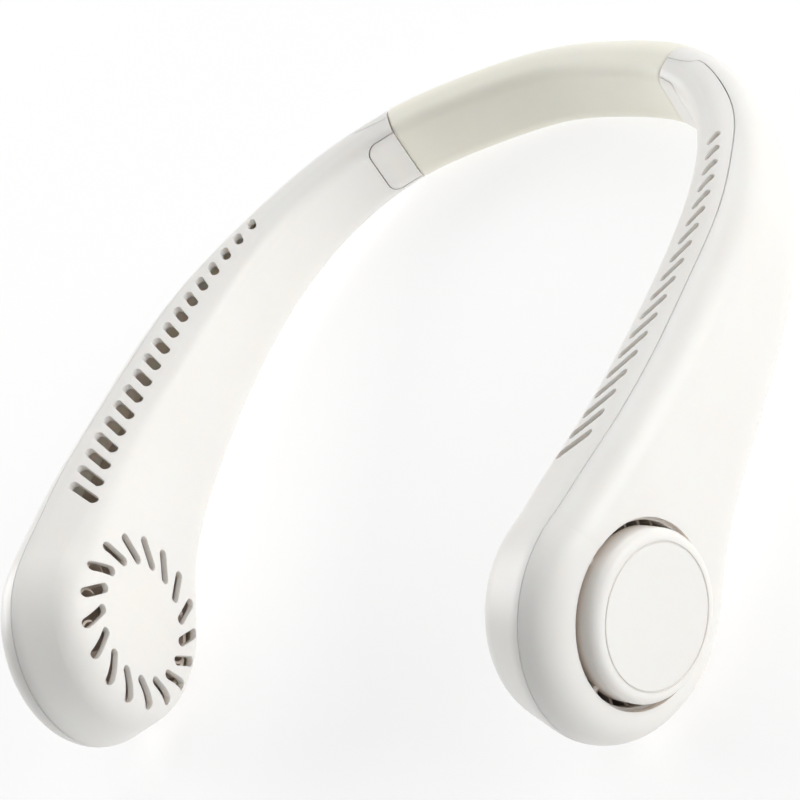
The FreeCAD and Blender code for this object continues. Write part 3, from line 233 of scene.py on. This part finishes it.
def laminated(name):
    """Stacked iron sheets, seen as fine lines across the fan axis."""
    f = Finish(name, metallic=0.7)
    place = f.place()
    sheets = f.node("ShaderNodeTexWave", {"wave_type": "BANDS", "bands_direction": "X"},
                    {"Vector": place, "Scale": 620.0, "Distortion": 0.4})
    rust = f.noise(place, 260.0, 4.0)
    colour = f.mixed(rust.clipped(0.4, 0.8), (0.09, 0.09, 0.10), (0.16, 0.13, 0.11))
    return f.surface(base_color=colour, roughness=0.45 + 0.2 * rust,
                     normal=f.bumped(sheets, 0.03 * MM, 0.6))


def wound(name):
    """Enamelled copper turns round each tooth."""
    f = Finish(name, metallic=0.85, coat_roughness=0.15)
    place = f.place()
    turns = f.node("ShaderNodeTexWave",
                   {"wave_type": "BANDS", "bands_direction": "X", "wave_profile": "SIN"},
                   {"Vector": place, "Scale": 900.0, "Distortion": 0.8, "Detail": 1.0})
    glow = f.noise(place, 300.0, 3.0)
    colour = f.mixed(turns, (0.34, 0.12, 0.05), (0.78, 0.36, 0.17))
    return f.surface(base_color=f.mixed(glow * 0.4, colour, (0.5, 0.2, 0.08)), roughness=0.26 + 0.2 * glow,
                     coat_weight=0.3 + 0.3 * glow, normal=f.bumped(turns, 0.05 * MM, 0.8))


def shrink_wrap(name):
    """Thin film shrunk on the cell, puckered a little towards its ends."""
    f = Finish(name, coat_roughness=0.2)
    place = f.place()
    pucker = f.noise(f.stretched(place, (1.0, 0.25, 1.0)), 260.0, 4.0, 0.6)
    tone = f.noise(place, 60.0, 3.0)
    colour = f.mixed(tone.clipped(0.35, 0.7), (0.05, 0.16, 0.36), (0.07, 0.22, 0.46))
    return f.surface(base_color=colour, roughness=0.32 + 0.15 * pucker, coat_weight=0.25 + 0.3 * tone,
                     normal=f.bumped(pucker, 0.05 * MM, 0.5))


def circuit(name):
    """Green solder resist over copper runs, with glass weave showing through."""
    f = Finish(name, specular_ior_level=0.5)
    place = f.place()
    runs = f.node("ShaderNodeTexBrick", {"offset": 0.37, "squash": 0.8},
                  {"Vector": f.stretched(place, (1.0, 1.0, 1.0), (0.6, 0.2, 0.9)), "Scale": 420.0,
                   "Mortar Size": 0.06, "Color1": (0.0, 0.0, 0.0), "Color2": (0.1, 0.1, 0.1),
                   "Mortar": (1.0, 1.0, 1.0)}, out="Fac")
    weave = f.node("ShaderNodeTexChecker", {}, {"Vector": place, "Scale": 2400.0}, out="Fac")
    base = f.mixed(weave * 0.2, (0.012, 0.10, 0.045), (0.02, 0.14, 0.06))
    return f.surface(base_color=f.mixed(runs * 0.7, base, (0.05, 0.26, 0.11)), roughness=0.3 + 0.12 * weave,
                     normal=f.bumped(runs, 0.03 * MM, 0.5))


def clear_pipe(name):
    """Milky clear plastic that carries the charging light."""
    f = Finish(name, transmission_weight=0.5, ior=1.49)
    place = f.place()
    milk = f.noise(place, 420.0, 3.0)
    return f.surface(base_color=f.mixed(milk, (0.86, 0.86, 0.83), (0.95, 0.95, 0.93)),
                     roughness=0.2 + 0.2 * milk, normal=f.bumped(milk, 0.02 * MM, 0.3))


finishes = {
    "outer_shell": moulded("outer_white", rough=0.36, grain=0.015 * MM, edge=0.25 * MM),
    "inner_shell": moulded("inner_white", rough=0.40, grain=0.018 * MM, edge=0.30 * MM),
    "intake_cap": moulded("cap_white", rough=0.34, grain=0.015 * MM, edge=0.35 * MM),
    "band_connector": moulded("tongue_white", rough=0.42, grain=0.018 * MM, edge=0.25 * MM),
    "power_button": moulded("button_white", rough=0.38, grain=0.015 * MM, edge=0.2 * MM),
    "air_guide": plain_moulding("guide_grey", (0.88, 0.77, 0.66), (0.83, 0.72, 0.61), 0.5, 0.02 * MM),
    "impeller": plain_moulding("impeller_grey", (0.74, 0.65, 0.57), (0.68, 0.59, 0.51), 0.55, 0.015 * MM),
    "button_switch": plain_moulding("switch_black", (0.03, 0.03, 0.03), (0.05, 0.05, 0.05), 0.5, 0.02 * MM),
    "band_wire_lead": plain_moulding("lead_black", (0.025, 0.025, 0.027), (0.04, 0.04, 0.04), 0.6,
                                     0.02 * MM),
    "magnet_ring": plain_moulding("magnet_grey", (0.10, 0.10, 0.11), (0.15, 0.15, 0.15), 0.5, 0.03 * MM),
    "band_spring_strip": metal("strip_steel", (0.52, 0.53, 0.55), (0.40, 0.40, 0.42), 0.3, (0.1, 1.0, 1.0)),
    "hinge_pin": metal("pin_steel", (0.6, 0.6, 0.61), (0.45, 0.45, 0.46), 0.25, (1.0, 1.0, 0.2)),
    "base_screws": metal("screw_steel", (0.5, 0.5, 0.51), (0.36, 0.36, 0.37), 0.3, (1.0, 0.3, 1.0)),
    "motor_base": metal("plate_steel", (0.58, 0.58, 0.57), (0.44, 0.43, 0.41), 0.35, (1.0, 1.0, 0.1)),
    "rotor_cup": metal("cup_steel", (0.58, 0.58, 0.58), (0.45, 0.44, 0.43), 0.3, (0.1, 1.0, 1.0)),
    "rotor_shaft": metal("shaft_steel", (0.64, 0.64, 0.65), (0.5, 0.5, 0.51), 0.2, (0.2, 1.0, 1.0)),
    "motor_bush": metal("bush_brass", (0.62, 0.44, 0.18), (0.42, 0.29, 0.12), 0.3, (0.3, 1.0, 1.0)),
    "usb_c_socket": metal("socket_steel", (0.62, 0.62, 0.63), (0.48, 0.48, 0.49), 0.28, (1.0, 1.0, 0.2)),
    "stator_core": laminated("core_iron"),
    "stator_coils": wound("coil_copper"),
    "battery_cell": shrink_wrap("cell_wrap"),
    "control_board": circuit("board_green"),
    "light_pipe": clear_pipe("pipe_clear"),
    "band_sleeve": silicone("sleeve_cream"),
}

for label, obj in parts.items():
    kind = label.removeprefix("right_").removeprefix("left_")
    obj.data.materials.clear()
    obj.data.materials.append(finishes[kind])

# Silicone sleeve: a smooth loft on the band's own line, from one arm's seam to the other

SEAM_X = 47.4
SEAM_SLOPE = -0.594
BAND_LINE = ((0.0, 101.9), (13.8, 100.5), (30.2, 96.6), (SEAM_X, 89.5))
BAND_TOP = 1.0
BAND_DEPTH = (21.42, 21.88)
BAND_HALF = (6.3, 6.8)
INNER_ROUND = (4.5, 4.5)
OUTER_ROUND = (6.0, 6.5)
STRIP_SLOPE = math.radians(16.7)
SLEEVE_STEPS = 120
ROUND_STEPS = 10
SEAM_GAP = 0.2
LIP = 0.35
LIP_LENGTH = 1.2
END_CROWDING = 0.35


def band_curve():
    """Even polynomial through the band's stations that leaves each seam at its slope: y from x."""
    powers = range(len(BAND_LINE) + 1)
    rows = [[x ** (2 * k) for k in powers] for x, _ in BAND_LINE]
    rows.append([2 * k * SEAM_X ** (2 * k - 1) if k else 0.0 for k in powers])
    return np.linalg.solve(np.array(rows), np.array([y for _, y in BAND_LINE] + [SEAM_SLOPE]))


def band_section(share, shrink):
    """Outline (outwards, height) of the band's section, share 0 at its middle and 1 at a seam."""
    stations = (BAND_HALF, INNER_ROUND, OUTER_ROUND, BAND_DEPTH)
    half, inner, outer, depth = (mid + (seam - mid) * share for mid, seam in stations)
    middle = BAND_TOP - depth / 2
    outer_u, inner_u = half - outer, inner - half
    drop = ((outer - inner) * (1 - math.cos(STRIP_SLOPE)) + (outer_u - inner_u) * math.sin(STRIP_SLOPE))
    outer_z = BAND_TOP - outer
    inner_z = outer_z + (outer - inner) - drop / math.cos(STRIP_SLOPE)
    turn = math.pi / 2 + STRIP_SLOPE
    points = []
    for centre_u, centre_z, radius, start, end in ((outer_u, outer_z, outer, 0.0, turn),
                                                   (inner_u, inner_z, inner, turn, math.pi)):
        for k in range(ROUND_STEPS + 1):
            angle = start + (end - start) * k / ROUND_STEPS
            points.append((centre_u + (radius - shrink) * math.cos(angle),
                           centre_z + (radius - shrink) * math.sin(angle)))
    lower = [(u, 2 * middle - z) for u, z in reversed(points)]
    return points + lower


def sleeve_mesh():
    """Rings of the band's section along its line, with a small rounded lip at each seam."""
    curve = band_curve()
    mesh = bmesh.new()
    rings = []
    reach = SEAM_X - SEAM_GAP
    for step in range(SLEEVE_STEPS + 1):
        place = 2 * step / SLEEVE_STEPS - 1
        x = reach * math.sin(place * math.pi / 2) * END_CROWDING + reach * place * (1 - END_CROWDING)
        y = sum(c * x ** (2 * k) for k, c in enumerate(curve))
        slope = sum(2 * k * c * x ** (2 * k - 1) for k, c in enumerate(curve) if k)
        along = Vector((1.0, slope, 0.0)).normalized()
        out = Vector((-along.y, along.x, 0.0))
        end = (reach - abs(x)) / LIP_LENGTH
        shrink = LIP * (1 - math.sqrt(max(0.0, 1 - (1 - min(1.0, end)) ** 2)))
        ring = [mesh.verts.new(at_rest(x + out.x * u, y + out.y * u, z))
                for u, z in band_section(abs(x) / SEAM_X, shrink)]
        rings.append(ring)
    count = len(rings[0])
    for a, b in zip(rings, rings[1:]):
        for k in range(count):
            mesh.faces.new((a[k], a[(k + 1) % count], b[(k + 1) % count], b[k]))
    mesh.faces.new(rings[0][::-1])
    mesh.faces.new(rings[-1])
    bmesh.ops.recalc_face_normals(mesh, faces=mesh.faces[:])
    made = bpy.data.meshes.new("silicone_sleeve")
    mesh.to_mesh(made)
    mesh.free()
    for face in made.polygons:
        face.use_smooth = len(face.vertices) == 4
    return made


sleeve = bpy.data.objects.new("silicone_sleeve", sleeve_mesh())
bpy.context.scene.collection.objects.link(sleeve)
sleeve.data.materials.append(finishes["band_sleeve"])
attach(sleeve, "band")
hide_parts("band_sleeve")

# Floor, light and camera

FLOOR = 40.0
PAPER_GLOW = 0.70
PAPER_PALE = (0.36, 0.36, 0.36)
PAPER_SHADE = (0.33, 0.33, 0.33)
WHITE = (1.0, 1.0, 1.0, 1.0)

floor_mesh = bpy.data.meshes.new("studio_floor")
corners = [(-FLOOR, -FLOOR, 0.0), (FLOOR, -FLOOR, 0.0), (FLOOR, FLOOR, 0.0), (-FLOOR, FLOOR, 0.0)]
floor_mesh.from_pydata(corners, [], [(0, 1, 2, 3)])
floor = bpy.data.objects.new("studio_floor", floor_mesh)
bpy.context.scene.collection.objects.link(floor)
paper = Finish("studio_paper", specular_ior_level=0.0, emission_strength=PAPER_GLOW, emission_color=WHITE)
tooth = paper.noise(paper.place(), 700.0, 3.0)
floor_mesh.materials.append(paper.surface(base_color=paper.mixed(tooth, PAPER_SHADE, PAPER_PALE),
                                          roughness=0.8 + 0.1 * tooth,
                                          normal=paper.bumped(tooth, 0.05 * MM, 0.2)))

AIM = Vector((0.0, 0.0, 0.03))
SKY_GLOW = 0.09


def softbox(name, place, size, power):
    """Round soft panel aimed at the middle of the fan."""
    light = bpy.data.lights.new(name, "AREA")
    light.shape = "DISK"
    light.size = size
    light.energy = power
    lamp = bpy.data.objects.new(name, light)
    lamp.location = place
    lamp.rotation_mode = "QUATERNION"
    lamp.rotation_quaternion = (AIM - Vector(place)).to_track_quat("-Z", "Y")
    bpy.context.scene.collection.objects.link(lamp)


softbox("right_back_panel", (2.16, 1.08, 0.54), size=1.44, power=23.0)
softbox("right_panel", (2.34, 0.27, 1.35), size=1.8, power=16.5)
softbox("left_panel", (-2.25, 0.27, 0.99), size=1.62, power=36.5)
softbox("back_panel", (-0.36, 2.34, 1.62), size=1.8, power=23.0)
softbox("front_panel", (1.08, -1.8, 1.62), size=1.8, power=7.5)
softbox("top_panel", (0.0, 0.54, 2.7), size=2.5, power=11.0)

sky = bpy.context.scene.world or bpy.data.worlds.new("studio")
bpy.context.scene.world = sky
sky.use_nodes = True
backdrop = next(n for n in sky.node_tree.nodes if n.type == "BACKGROUND")
backdrop.inputs["Color"].default_value = WHITE
backdrop.inputs["Strength"].default_value = SKY_GLOW
bpy.context.scene.view_settings.view_transform = "Standard"

CAMERA_PLACE = (0.39198, -0.29349, 0.41019)
CAMERA_AZIMUTH = math.radians(54.613)
CAMERA_ELEVATION = math.radians(38.331)
CAMERA_ROLL = math.radians(-47.912)
CAMERA_LENS = 112.5
CAMERA_SENSOR = 36.0
CAMERA_NEAR = 0.01

camera = bpy.data.objects.new("camera", bpy.data.cameras.new("camera"))
camera.data.lens = CAMERA_LENS
camera.data.sensor_width = CAMERA_SENSOR
camera.data.clip_start = CAMERA_NEAR
back = Vector((math.sin(CAMERA_AZIMUTH) * math.cos(CAMERA_ELEVATION),
               -math.cos(CAMERA_AZIMUTH) * math.cos(CAMERA_ELEVATION), math.sin(CAMERA_ELEVATION)))
level = (-back).to_track_quat("-Z", "Y").to_matrix().to_4x4()
camera.matrix_world = Matrix.Translation(CAMERA_PLACE) @ level @ Matrix.Rotation(CAMERA_ROLL, 4, "Z")
bpy.context.scene.collection.objects.link(camera)
bpy.context.scene.camera = camera
